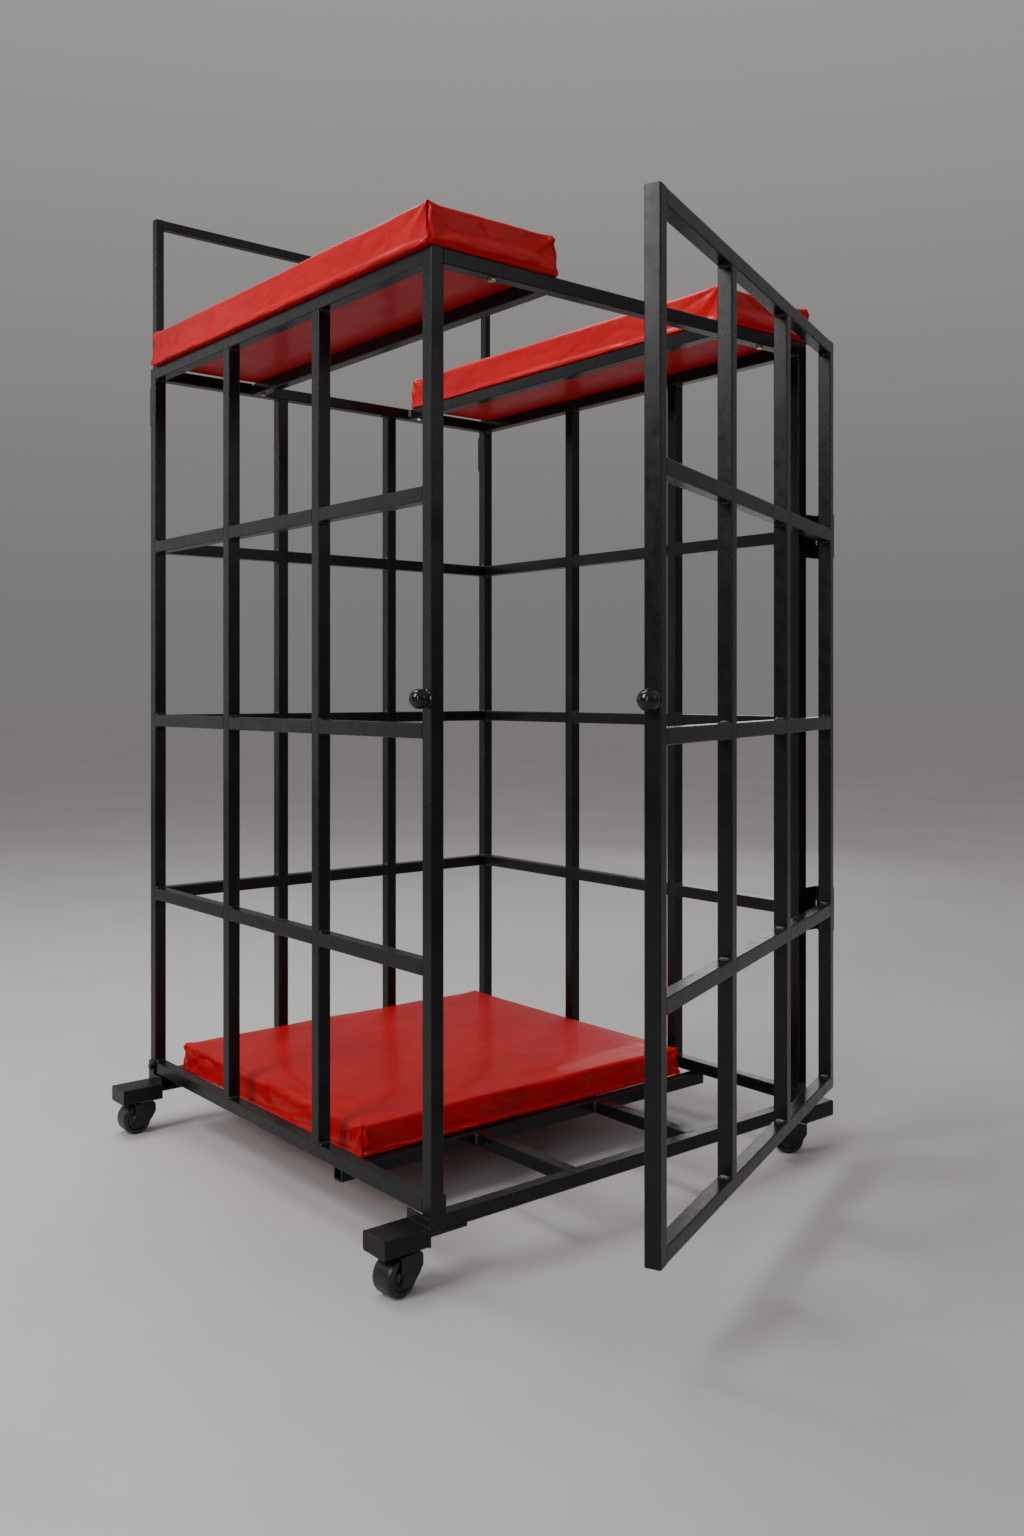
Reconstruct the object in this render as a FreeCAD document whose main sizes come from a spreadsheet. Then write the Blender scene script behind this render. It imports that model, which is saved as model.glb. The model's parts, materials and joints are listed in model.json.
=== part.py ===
import FreeCAD, Part
import math
import os
import Sketcher
from FreeCAD import Placement, Rotation, Vector

# Rolling barred cage with a hinged gate, a padded top, a floor pad and a raised rear hoop.
# Frame: +Z up, the gate side facing -Y, origin on the floor under the centre of the cage.
# Everything is laid out from the underside of the corner posts, and raised onto its castors
# at the end. Millimetres.

doc = FreeCAD.newDocument("RollingCage")
sheet = doc.addObject("Spreadsheet::Sheet", "Sizes")

DIMENSIONS = [
    ("frame_width", 750, "outside, along X"),
    ("frame_depth", 840, "outside, along Y"),
    ("frame_height", 1250, "length of a corner post"),
    ("tube", 20, "side of the square tube"),
    ("tube_wall", 2, "its wall"),
    ("tube_round", 1.6, "its outer corner radius"),
    ("floor_rail_y", -190, "centre line of the rail under the floor pad's front edge"),
    ("pad_rail_x", 175, "centre line of the rails under the pads' inner edges"),
    ("gate_width", 770, "gate, outside"),
    ("gate_height", 1206, "gate, outside"),
    ("gate_bottom", 44, "height of the gate's lower edge"),
    ("gate_gap", 8, "between the front of the posts and the shut gate"),
    ("gate_angle", 23, "how far the gate stands open"),
    ("hinge_block", 24, "spacer between the post and its hinge leaf"),
    ("hinge_height", 70, "a hinge leaf, along Z"),
    ("hinge_leaf", 3, "its thickness"),
    ("knuckle", 10, "hinge knuckle, diameter"),
    ("pin_diameter", 6, "hinge pin"),
    ("running_fit", 0.1, "added to a bore's diameter where its pin turns"),
    ("knob_height", 676, "centre of both ball knobs"),
    ("ball", 26, "ball of a knob, diameter"),
    ("rosette", 25, "plate behind the ball, diameter"),
    ("rosette_thick", 3, "its thickness"),
    ("ball_offset", 11.5, "ball centre, from the tube's face"),
    ("stud", 6, "stud of a knob, diameter"),
    ("hoop_tube", 15, "side of the hoop's tube"),
    ("hoop_wall", 1.5, "its wall"),
    ("hoop_top", 1511, "height of the hoop"),
    ("hoop_inside", 300, "length of a hoop leg inside its post"),
    ("clamp_height", 74, "clamp plate on the back of a rear post"),
    ("clamp_top", 1222, "height of its upper edge"),
    ("clamp_thick", 4, "its thickness"),
    ("bolt", 6, "bolt shank, diameter"),
    ("bolt_head", 10, "bolt head, across the flats"),
    ("bolt_head_thick", 3.5, "its thickness"),
    ("bracket_reach", 70, "castor bracket, from the frame's side outwards"),
    ("bracket_width", 50, "castor bracket, along Y"),
    ("bracket_deep", 25, "castor bracket, along Z"),
    ("bracket_top", 8, "height of its upper face"),
    ("bracket_wall", 2, "its wall"),
    ("flange", 3, "side flange of a castor bracket, thickness"),
    ("foot_plate", 4, "plate under a corner, thickness"),
    ("foot_reach", 57, "plate under a corner, along X"),
    ("castor_out", 19, "swivel axis, outwards from the frame's side"),
    ("castor_in", 25, "swivel axis, inwards from the frame's end"),
    ("castor_plate", 36, "side of the castor's mounting plate"),
    ("castor_plate_thick", 2.5, "its thickness"),
    ("stem", 8, "castor stem, diameter"),
    ("stem_length", 8.5, "below its plate"),
    ("wheel", 50, "castor wheel, diameter"),
    ("wheel_width", 34, "its width"),
    ("wheel_round", 5, "its shoulder radius"),
    ("stance", 72, "underside of the posts, above the floor"),
    ("trail", 22, "wheel axle, behind the swivel axis"),
    ("hood_width", 41, "castor hood, across its cheeks"),
    ("hood_cheek", 2.5, "its cheek"),
    ("hood_gap", 1.5, "between hood and wheel, all round"),
    ("axle", 6, "castor axle, diameter"),
    ("top_pad_width", 228, "a top pad, along X"),
    ("top_pad_length", 823, "a top pad, along Y"),
    ("top_pad_thick", 60, "a top pad, along Z"),
    ("top_pad_x", 274, "its centre, from the middle"),
    ("top_pad_front", -425, "its front end"),
    ("floor_pad_width", 664, "the floor pad, along X"),
    ("floor_pad_length", 586, "the floor pad, along Y"),
    ("floor_pad_thick", 50, "the floor pad, along Z"),
    ("floor_pad_front", -188, "its front end"),
    ("cover", 1.5, "pad cover, thickness"),
    ("board", 9, "plywood board in a pad, thickness"),
    ("pad_round", 6, "edge radius of a pad"),
]

for row, (alias, value, note) in enumerate(DIMENSIONS, start=1):
    sheet.set(f"A{row}", str(value))
    sheet.set(f"B{row}", note)
    sheet.setAlias(f"A{row}", alias)
doc.recompute()


def size(alias):
    """The value of one driving dimension."""
    return float(getattr(sheet, alias))


def bind(item, prop, formula):
    """Ties a property to the sheet: names in the formula are aliases."""
    text = formula
    for alias, _, _ in sorted(DIMENSIONS, key=lambda entry: -len(entry[0])):
        text = replace_word(text, alias)
    item.setExpression(prop, text)


def replace_word(text, alias):
    """Puts the sheet's name in front of an alias wherever it stands as a word."""
    words = text.replace("(", " ( ").replace(")", " ) ").split()
    return " ".join(f"Sizes.{alias}" if word == alias else word for word in words)


WIDTH = size("frame_width")
DEPTH = size("frame_depth")
HEIGHT = size("frame_height")
TUBE = size("tube")
HALF_TUBE = TUBE / 2
SIDE_X = WIDTH / 2
END_Y = DEPTH / 2
POST_X = SIDE_X - HALF_TUBE
POST_Y = END_Y - HALF_TUBE

UP = Vector(0, 0, 1)
ALONG = {
    "X": Rotation(UP, Vector(1, 0, 0)),
    "Y": Rotation(UP, Vector(0, 1, 0)),
    "Z": Rotation(),
}
nodes = []


def keep(item, name):
    """Makes an object a sub-part: its label is the name of its file."""
    item.Label = name
    nodes.append(item)
    return item


# ---------------------------------------------------------------- sketches and solids

def origin_plane(body, role):
    """One of a body's own origin planes."""
    for feature in body.Origin.OriginFeatures:
        if feature.Role == role:
            return feature
    raise ValueError(role)


def sketch_on(body, role, name):
    """An empty sketch on an origin plane of the body."""
    sketch = body.newObject("Sketcher::SketchObject", name)
    sketch.AttachmentSupport = [(origin_plane(body, role), "")]
    sketch.MapMode = "FlatFace"
    return sketch


def add_rectangle(sketch, wide, high, wide_formula, high_formula):
    """A rectangle centred on the sketch's origin, its two sizes bound to the sheet."""
    x, y = wide / 2, high / 2
    corners = [Vector(-x, -y, 0), Vector(x, -y, 0), Vector(x, y, 0), Vector(-x, y, 0)]
    first = sketch.GeometryCount
    for index in range(4):
        sketch.addGeometry(Part.LineSegment(corners[index], corners[(index + 1) % 4]))
    for index in range(4):
        after = first + (index + 1) % 4
        sketch.addConstraint(Sketcher.Constraint("Coincident", first + index, 2, after, 1))
    for index in (0, 2):
        sketch.addConstraint(Sketcher.Constraint("Horizontal", first + index))
    for index in (1, 3):
        sketch.addConstraint(Sketcher.Constraint("Vertical", first + index))
    sketch.addConstraint(Sketcher.Constraint("Symmetric", first, 1, first + 1, 2, -1, 1))
    across = sketch.addConstraint(Sketcher.Constraint("DistanceX", first, 1, first, 2, wide))
    bind(sketch, f"Constraints[{across}]", wide_formula)
    along = sketch.addConstraint(Sketcher.Constraint("DistanceY", first + 1, 1, first + 1, 2, high))
    bind(sketch, f"Constraints[{along}]", high_formula)


def add_outline(sketch, points):
    """A closed outline of straight lines through the points."""
    first = sketch.GeometryCount
    count = len(points)
    for index in range(count):
        start = Vector(*points[index], 0)
        end = Vector(*points[(index + 1) % count], 0)
        sketch.addGeometry(Part.LineSegment(start, end))
    for index in range(count):
        after = first + (index + 1) % count
        sketch.addConstraint(Sketcher.Constraint("Coincident", first + index, 2, after, 1))


def pad(body, sketch, name, formula, both_ways=False):
    """Extrudes a sketch by a bound length."""
    feature = body.newObject("PartDesign::Pad", name)
    feature.Profile = sketch
    feature.Midplane = both_ways
    bind(feature, "Length", formula)
    doc.recompute()
    return feature


def fillet(body, base, edges, name, formula):
    """Rounds the named edges of a body's last feature."""
    feature = body.newObject("PartDesign::Fillet", name)
    feature.Base = (base, edges)
    bind(feature, "Radius", formula)
    doc.recompute()
    return feature


def long_outer_edges(shape, length, half):
    """Names of the edges that run the tube's length on its outer corners."""
    names = []
    for index, edge in enumerate(shape.Edges, start=1):
        middle = edge.CenterOfMass
        outer = abs(abs(middle.x) - half) < 1e-4 and abs(abs(middle.y) - half) < 1e-4
        if outer and abs(edge.Length - length) < 1e-4:
            names.append(f"Edge{index}")
    return names


def tube_body(name, axis, start, length_formula, side="tube", wall="tube_wall"):
    """A square tube along an axis, its centre line starting at a point."""
    body = doc.addObject("PartDesign::Body", name)
    section = sketch_on(body, "XY_Plane", name + "_section")
    outer = size(side)
    inner = outer - 2 * size(wall)
    add_rectangle(section, outer, outer, side, side)
    inside = f"{side} - 2 * {wall}"
    add_rectangle(section, inner, inner, inside, inside)
    run = pad(body, section, name + "_run", length_formula)
    edges = long_outer_edges(run.Shape, run.Length.Value, outer / 2)
    fillet(body, run, edges, name + "_corners", "tube_round")
    body.Placement = Placement(Vector(*start), ALONG[axis])
    return body


def end_plate(name, x, y, z, side="tube", wall="tube_wall"):
    """A plate inside an upright tube that closes its end."""
    inner = size(side) - 2 * size(wall)
    inside = f"{side} - 2 * {wall}"
    return block(name, (x - inner / 2, y - inner / 2, z), (inside, inside, wall))


def cylinder(name, place, direction, diameter_formula, length_formula):
    """A bound cylinder from a point along a direction."""
    item = doc.addObject("Part::Cylinder", name)
    bind(item, "Radius", f"( {diameter_formula} ) / 2")
    bind(item, "Height", length_formula)
    item.Placement = Placement(Vector(*place), Rotation(UP, Vector(*direction)))
    return item


def block(name, low, formulas):
    """A bound box from its low corner."""
    item = doc.addObject("Part::Box", name)
    for prop, formula in zip(("Length", "Width", "Height"), formulas):
        bind(item, prop, formula)
    item.Placement = Placement(Vector(*low), Rotation())
    return item


def cut(name, base, tools):
    """Base less its tools."""
    tool = tools[0]
    if len(tools) > 1:
        tool = doc.addObject("Part::MultiFuse", name + "_tools")
        tool.Shapes = tools
    item = doc.addObject("Part::Cut", name)
    item.Base = base
    item.Tool = tool
    return item


def fuse(name, pieces):
    """Several shapes welded into one."""
    item = doc.addObject("Part::MultiFuse", name)
    item.Shapes = pieces
    item.Refine = True
    return item


def group(name, pieces):
    """Several separate solids that make one node."""
    item = doc.addObject("Part::Compound", name)
    item.Links = pieces
    return keep(item, name)


# ---------------------------------------------------------------- welded frame

LEFT, RIGHT, FRONT, BACK = -1, 1, -1, 1
CORNERS = {
    "front_left": (LEFT, FRONT),
    "back_left": (LEFT, BACK),
    "back_right": (RIGHT, BACK),
    "front_right": (RIGHT, FRONT),
}
CLAMP_BOLT_HEIGHTS = [size("clamp_top") - 17, size("clamp_top") - 57]
TAB_BOLT_HEIGHT = 30


def knob_hole(name, face_x, centre_y, direction=(1, 0, 0)):
    """The hole in a tube's wall that takes a knob's stud."""
    return cylinder(name, (face_x, centre_y, size("knob_height")), direction, "stud", "tube_wall + 1")


def rear_post_holes(name, side):
    """Holes in a rear post: two at the back for the clamp's bolts, one beside for the bracket's."""
    holes = [
        cylinder(f"{name}_hole_{number}", (side * POST_X, END_Y + 1, height), (0, -1, 0),
                 "bolt", "tube_wall + 2")
        for number, height in enumerate(CLAMP_BOLT_HEIGHTS, start=1)
    ]
    outside = (side * (SIDE_X + 1), POST_Y, TAB_BOLT_HEIGHT)
    holes.append(cylinder(name + "_tab_hole", outside, (-side, 0, 0), "bolt", "tube_wall + 2"))
    return holes


def make_posts():
    """Four corner posts; the rear ones are open at the top for the hoop's legs."""
    for corner, (side, end) in CORNERS.items():
        name = f"post_{corner}"
        tube = tube_body(name + "_tube", "Z", (side * POST_X, end * POST_Y, 0), "frame_height")
        if end == BACK:
            keep(cut(name, tube, rear_post_holes(name, side)), name)
        elif side == LEFT:
            hole = knob_hole(name + "_hole", -SIDE_X - 1, -POST_Y)
            keep(cut(name, tube, [hole]), name)
        else:
            keep(tube, name)


def make_outer_rails():
    """Bottom and top rails between the posts; the side rails stand one tube above the front one."""
    inner_x = SIDE_X - TUBE
    inner_y = END_Y - TUBE
    across = "frame_width - 2 * tube"
    deep = "frame_depth - 2 * tube"
    top = HEIGHT - HALF_TUBE
    for end_name, end in (("front", FRONT), ("back", BACK)):
        name = f"{end_name}_bottom_rail"
        keep(tube_body(name, "X", (-inner_x, end * POST_Y, HALF_TUBE), across), name)
        top_name = f"{end_name}_top_rail"
        rail = tube_body(top_name, "X", (-inner_x, end * POST_Y, top), across)
        if end == FRONT:
            rail.Label = top_name + "_tube"
            rail = cut(top_name + "_drilled", rail, pad_bolt_holes(top_name, end))
        keep(rail, top_name)
    for side_name, side in (("left", LEFT), ("right", RIGHT)):
        name = f"{side_name}_bottom_rail"
        keep(tube_body(name, "Y", (side * POST_X, -inner_y, TUBE + HALF_TUBE), deep), name)
        name = f"{side_name}_top_rail"
        keep(tube_body(name, "Y", (side * POST_X, -inner_y, top), deep), name)


PAD_BOLT_X = 270
REAR_BOLT_Y = END_Y - TUBE - 20


def pad_bolt_places():
    """Feet of the four bolts that hold the top pads: two in the front rail, two in the pad rails."""
    low = HEIGHT - TUBE
    front = [(side * PAD_BOLT_X, -POST_Y, low) for side in (LEFT, RIGHT)]
    rear = [(side * size("pad_rail_x"), REAR_BOLT_Y, low) for side in (LEFT, RIGHT)]
    return front + rear


def pad_bolt_holes(name, end):
    """Holes through a top rail for the pads' bolts."""
    return [
        cylinder(f"{name}_hole_{side}", (side * PAD_BOLT_X, end * POST_Y, HEIGHT - TUBE - 1), (0, 0, 1),
                 "bolt", "tube + 2")
        for side in (LEFT, RIGHT)
    ]


def rail_heights():
    """Centre heights of the three rails that divide a wall into four equal rows."""
    low = TUBE + HALF_TUBE
    high = HEIGHT - HALF_TUBE
    return [low + (high - low) * step / 4 for step in (1, 2, 3)]


def thirds(length):
    """Places of the two bars that divide a wall into three equal bays."""
    return [-length / 6, length / 6]


def make_wall(wall, axis, fixed, span, bar_foot):
    """Two bars from rail to rail, and three rails cut to fit between posts and bars."""
    centres = thirds(span - TUBE)
    bar_length = f"frame_height - tube - {bar_foot}"
    bars = []
    for number, centre in enumerate(centres, start=1):
        place = (centre, fixed) if axis == "X" else (fixed, centre)
        start = (*place, HALF_TUBE * 2 if bar_foot == "tube" else 2 * TUBE)
        bars.append(tube_body(f"{wall}_bar_{number}", "Z", start, bar_length))
    group(f"{wall}_wall_bars", bars)
    edge = span / 2 - TUBE
    starts = [-edge, centres[0] + HALF_TUBE, centres[1] + HALF_TUBE]
    span_name = "frame_width" if axis == "X" else "frame_depth"
    segment = f"( {span_name} - tube ) / 3 - tube"
    pieces = []
    for row, height in enumerate(rail_heights(), start=1):
        for bay, start in enumerate(starts, start=1):
            place = (start, fixed, height) if axis == "X" else (fixed, start, height)
            pieces.append(tube_body(f"{wall}_rail_{row}_{bay}", axis, place, segment))
    group(f"{wall}_wall_rails", pieces)


def make_walls():
    """The barred left, back and right walls."""
    make_wall("left", "Y", -POST_X, DEPTH, "2 * tube")
    make_wall("back", "X", POST_Y, WIDTH, "tube")
    make_wall("right", "Y", POST_X, DEPTH, "2 * tube")


def make_floor_frame():
    """The rail under the floor pad's front edge, and members from it to the front and back rails."""
    name = "floor_support_rail"
    rail_y = size("floor_rail_y")
    keep(tube_body(name, "X", (-SIDE_X + 5, rail_y, HALF_TUBE), "frame_width - tube / 2"), name)
    members = []
    for number, x in enumerate(thirds(WIDTH - TUBE), start=1):
        front = (x, -END_Y + TUBE, HALF_TUBE)
        members.append(tube_body(f"front_member_{number}", "Y", front,
                                 "frame_depth / 2 + floor_rail_y - tube - tube / 2"))
        rear = (x, rail_y + HALF_TUBE, HALF_TUBE)
        members.append(tube_body(f"rear_member_{number}", "Y", rear,
                                 "frame_depth / 2 - floor_rail_y - tube - tube / 2"))
    group("floor_cross_members", members)


def make_pad_rails():
    """Two rails across the top that carry the inner edges of the top pads."""
    rails = []
    for side_name, side in (("left", LEFT), ("right", RIGHT)):
        x = side * size("pad_rail_x")
        start = (x, -END_Y + TUBE, HEIGHT - HALF_TUBE)
        tube = tube_body(f"pad_rail_{side_name}", "Y", start, "frame_depth - 2 * tube")
        hole = cylinder(f"pad_rail_{side_name}_hole", (x, REAR_BOLT_Y, HEIGHT - TUBE - 1), (0, 0, 1),
                        "bolt", "tube + 2")
        rails.append(cut(f"pad_rail_{side_name}_drilled", tube, [hole]))
    group("pad_support_rails", rails)


# ---------------------------------------------------------------- castor brackets and castors

def make_bracket(corner, side, end):
    """A tube bracket that reaches outwards, its flange, and the plate under the corner."""
    name = f"castor_bracket_{corner}"
    face = side * SIDE_X
    flange_low = size("bracket_top") - size("bracket_deep")
    width = size("bracket_width")
    low_y = end * END_Y - (width if end == BACK else 0)
    reach = size("bracket_reach")
    wall = size("bracket_wall")
    flange = size("flange")

    def low_x(start, length):
        return face + side * start - (length if side == LEFT else 0)

    arm = doc.addObject("PartDesign::Body", name + "_arm")
    profile = sketch_on(arm, "XY_Plane", name + "_arm_section")
    add_rectangle(profile, width, size("bracket_deep"), "bracket_width", "bracket_deep")
    run = pad(arm, profile, name + "_arm_run", "bracket_reach")
    edges = [
        f"Edge{index}" for index, edge in enumerate(run.Shape.Edges, start=1)
        if abs(edge.Length - reach) < 1e-4
    ]
    fillet(arm, run, edges, name + "_arm_corners", "3")
    outwards = Placement(Vector(face, low_y + width / 2, flange_low + size("bracket_deep") / 2),
                         Rotation(Vector(0, 1, 0), side * 90).multiply(Rotation(UP, 90)))
    arm.Placement = outwards
    hollow = block(
        name + "_hollow",
        (low_x(flange, reach - flange - wall), low_y + wall, flange_low + wall),
        ("bracket_reach - flange - bracket_wall", "bracket_width - 2 * bracket_wall",
         "bracket_deep - 2 * bracket_wall"))
    shell = cut(name + "_shell", arm, [hollow])
    plate_low = -size("foot_plate")
    side_flange = block(name + "_flange", (low_x(0, flange), low_y, flange_low),
                        ("flange", "bracket_width", "tube - 1 - bracket_top + bracket_deep"))
    foot_length = size("foot_reach")
    foot = block(name + "_foot", (low_x(-foot_length, foot_length), low_y, plate_low),
                 ("foot_reach", "bracket_width", "foot_plate"))
    pieces = [shell, side_flange, foot]
    if end == BACK:
        tab_low = END_Y - TUBE
        pieces.append(block(name + "_tab", (low_x(0, flange), tab_low, 0),
                            ("flange", "tube", "2 * tube")))
        hole = cylinder(name + "_hole", (face + side * (flange + 1), POST_Y, TAB_BOLT_HEIGHT),
                        (-side, 0, 0), "bolt", "flange + 2")
        return keep(cut(name, fuse(name + "_weldment", pieces), [hole]), name)
    welded = fuse(name + "_weldment", pieces)
    tab = block(name + "_tab", (low_x(-TUBE - 4, 4), -END_Y + 1, TUBE), ("4", "tube - 2", "tube + 4"))
    return group(name, [welded, tab])


def castor_place(side, end, turn):
    """Where a castor's swivel axis stands, and how the castor is turned about it."""
    x = side * (SIDE_X + size("castor_out"))
    y = end * (END_Y - size("castor_in"))
    return Placement(Vector(x, y, 0), Rotation(UP, turn))


def make_mounts():
    """Under each bracket, a plate with the stem that its castor swivels on."""
    under = size("bracket_top") - size("bracket_deep")
    side_length = size("castor_plate")
    thick = size("castor_plate_thick")
    mounts = []
    for corner, (side, end) in CORNERS.items():
        at = castor_place(side, end, 0).Base
        low = (at.x - side_length / 2, at.y - side_length / 2, under - thick)
        plate = block(f"mount_plate_{corner}", low, ("castor_plate", "castor_plate", "castor_plate_thick"))
        stem = cylinder(f"mount_stem_{corner}", (at.x, at.y, under - thick), (0, 0, -1),
                        "stem", "stem_length")
        mounts.append(fuse(f"mount_{corner}", [plate, stem]))
    group("castor_mounts", mounts)


CASTOR_TURNS = {"front_left": 8, "back_left": 0, "back_right": 200, "front_right": -51}


def make_hood(corner, place):
    """Castor hood: a block over the wheel, hollowed round it, with two cheeks that hold the axle."""
    name = f"castor_hood_{corner}"
    top = size("bracket_top") - size("bracket_deep") - size("castor_plate_thick") - 0.3
    axle_z = -size("stance") + size("wheel") / 2
    back = size("wheel") / 2 + 5.5
    low = axle_z - 12
    centre_x = -size("trail")
    body = doc.addObject("PartDesign::Body", name + "_body")
    profile = sketch_on(body, "XZ_Plane", name + "_profile")
    outline = [
        (centre_x - 6, top), (centre_x - 6, low + 4), (centre_x - 2, low), (centre_x + 12, low),
        (centre_x + 24, axle_z), (centre_x + back, axle_z + 10), (centre_x + back, top - 4),
        (centre_x + back - 4, top),
    ]
    add_outline(profile, outline)
    pad(body, profile, name + "_block", "hood_width", both_ways=True)
    body.Placement = place
    room = cylinder(name + "_room", (centre_x, size("wheel_width") / 2 + 1, axle_z), (0, -1, 0),
                    "wheel + 2 * hood_gap", "wheel_width + 2")
    bore = cylinder(name + "_bore", (0, 0, top + 1), (0, 0, -1),
                    "stem + running_fit", "stem_length + 12")
    seat = cylinder(name + "_seat", (centre_x, size("hood_width") / 2 + 1, axle_z), (0, -1, 0),
                    "axle", "hood_width + 2")
    for tool in (room, bore, seat):
        tool.Placement = place.multiply(tool.Placement)
    return keep(cut(name, body, [room, bore, seat]), name)


def make_axle(corner, place):
    """Castor axle: a pin with a shallow head outside each cheek."""
    name = f"castor_axle_{corner}"
    axle_z = -size("stance") + size("wheel") / 2
    reach = size("hood_width") / 2
    pin = cylinder(name + "_pin", (-size("trail"), reach, axle_z), (0, -1, 0), "axle", "hood_width")
    heads = [
        cylinder(f"{name}_head_{number}", (-size("trail"), way * reach, axle_z), (0, way, 0),
                 "axle + 4", "1.2")
        for number, way in enumerate((FRONT, BACK), start=1)
    ]
    pieces = [pin, *heads]
    for piece in pieces:
        piece.Placement = place.multiply(piece.Placement)
    return keep(fuse(name, pieces), name)


def make_wheel(corner, place):
    """Castor wheel: one wide roller with rounded shoulders, dished sides and a hub."""
    name = f"castor_wheel_{corner}"
    radius = size("wheel") / 2
    half = size("wheel_width") / 2
    shoulder = size("wheel_round")
    bore = (size("axle") + size("running_fit")) / 2
    rim, hub, dish = radius - shoulder - 2, 7, 2.5
    body = doc.addObject("PartDesign::Body", name + "_body")
    profile = sketch_on(body, "XZ_Plane", name + "_profile")
    outline = [
        (bore, -half), (hub, -half), (hub + 2, -half + dish), (rim - 2, -half + dish), (rim, -half),
        (radius - shoulder, -half), (radius - shoulder * 0.293, -half + shoulder * 0.293),
        (radius, -half + shoulder), (radius, half - shoulder),
        (radius - shoulder * 0.293, half - shoulder * 0.293), (radius - shoulder, half), (rim, half),
        (rim - 2, half - dish), (hub + 2, half - dish), (hub, half), (bore, half),
    ]
    add_outline(profile, outline)
    turned = body.newObject("PartDesign::Revolution", name + "_turned")
    turned.Profile = profile
    turned.ReferenceAxis = (profile, ["V_Axis"])
    turned.Angle = 360
    doc.recompute()
    centre = Vector(-size("trail"), 0, -size("stance") + radius)
    body.Placement = place.multiply(Placement(centre, Rotation(Vector(1, 0, 0), 90)))
    return keep(body, name)


def make_castors():
    """Four swivelling castors under their brackets."""
    for corner, (side, end) in CORNERS.items():
        make_bracket(corner, side, end)
    make_mounts()
    for corner, (side, end) in CORNERS.items():
        place = castor_place(side, end, CASTOR_TURNS[corner])
        make_hood(corner, place)
        make_axle(corner, place)
        make_wheel(corner, place)


# ---------------------------------------------------------------- knobs and bolts

def knob(name, face_x, centre_y):
    """Ball knob on a round plate, its stud through the tube's wall, pointing to -X."""
    body = doc.addObject("PartDesign::Body", name)
    profile = sketch_on(body, "XZ_Plane", name + "_profile")
    ball = size("ball") / 2
    offset = size("ball_offset")
    plate = size("rosette_thick")
    plate_r = size("rosette") / 2
    stud = size("stud") / 2
    root = (ball ** 2 - (offset - plate) ** 2) ** 0.5
    points = [
        (0, -size("tube_wall")), (stud, -size("tube_wall")), (stud, 0), (plate_r, 0),
        (plate_r, plate - 1), (plate_r - 1, plate), (root, plate),
    ]
    for index in range(len(points) - 1):
        profile.addGeometry(Part.LineSegment(Vector(*points[index], 0), Vector(*points[index + 1], 0)))
    start = math.atan2(plate - offset, root)
    circle = Part.Circle(Vector(0, offset, 0), UP, ball)
    profile.addGeometry(Part.ArcOfCircle(circle, start, math.pi / 2))
    profile.addGeometry(Part.LineSegment(Vector(0, offset + ball, 0), Vector(*points[0], 0)))
    turned = body.newObject("PartDesign::Revolution", name + "_turned")
    turned.Profile = profile
    turned.ReferenceAxis = (profile, ["V_Axis"])
    turned.Angle = 360
    doc.recompute()
    outwards = Rotation(UP, Vector(-1, 0, 0))
    body.Placement = Placement(Vector(face_x, centre_y, size("knob_height")), outwards)
    return keep(body, name)


def hex_bolt(name, place, direction, shank_formula):
    """A hexagon bolt: its head outside, its shank along the direction."""
    head = doc.addObject("Part::Prism", name + "_head")
    head.Polygon = 6
    bind(head, "Circumradius", "bolt_head / 2 / 0.866")
    bind(head, "Height", "bolt_head_thick")
    turn = Rotation(UP, Vector(*direction))
    step = Vector(*direction) * -size("bolt_head_thick")
    head.Placement = Placement(Vector(*place) + step, turn)
    shank = cylinder(name + "_shank", place, direction, "bolt", shank_formula)
    return fuse(name, [head, shank])


def make_clamps():
    """Clamp plates on the backs of the rear posts, and the short bolts of plates and tabs."""
    plates = []
    bolts = []
    thick = size("clamp_thick")
    low = size("clamp_top") - size("clamp_height")
    for side_name, side in (("left", LEFT), ("right", RIGHT)):
        x = side * POST_X
        name = f"hoop_clamp_{side_name}"
        body = doc.addObject("PartDesign::Body", name + "_plate")
        outline = sketch_on(body, "XZ_Plane", name + "_outline")
        add_rectangle(outline, size("tube") - 2, size("clamp_height"), "tube - 2", "clamp_height")
        run = pad(body, outline, name + "_run", "clamp_thick")
        ends = [
            f"Edge{index}" for index, edge in enumerate(run.Shape.Edges, start=1)
            if abs(edge.Length - thick) < 1e-4
        ]
        fillet(body, run, ends, name + "_ends", "5")
        body.Placement = Placement(Vector(x, END_Y + thick, low + size("clamp_height") / 2), Rotation())
        plates.append(cut(name, body, [
            cylinder(f"{name}_hole_{number}", (x, END_Y + thick + 1, height), (0, -1, 0), "bolt",
                     "clamp_thick + 2")
            for number, height in enumerate(CLAMP_BOLT_HEIGHTS, start=1)
        ]))
        for number, height in enumerate(CLAMP_BOLT_HEIGHTS, start=1):
            bolts.append(hex_bolt(f"{name}_bolt_{number}", (x, END_Y + thick, height), (0, -1, 0),
                                  "clamp_thick + tube_wall"))
        tab_face = side * (SIDE_X + size("flange"))
        bolts.append(hex_bolt(f"tab_bolt_{side_name}", (tab_face, POST_Y, TAB_BOLT_HEIGHT),
                              (-side, 0, 0), "flange + tube_wall"))
    group("hoop_clamps", plates)
    group("clamp_bolts", bolts)


def make_pad_bolts():
    """Bolts from below the top rails into the boards of the top pads."""
    bolts = [
        hex_bolt(f"pad_bolt_{number}", place, (0, 0, 1), "tube + cover + board - 1")
        for number, place in enumerate(pad_bolt_places(), start=1)
    ]
    group("pad_bolts", bolts)


# ---------------------------------------------------------------- pads

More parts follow.
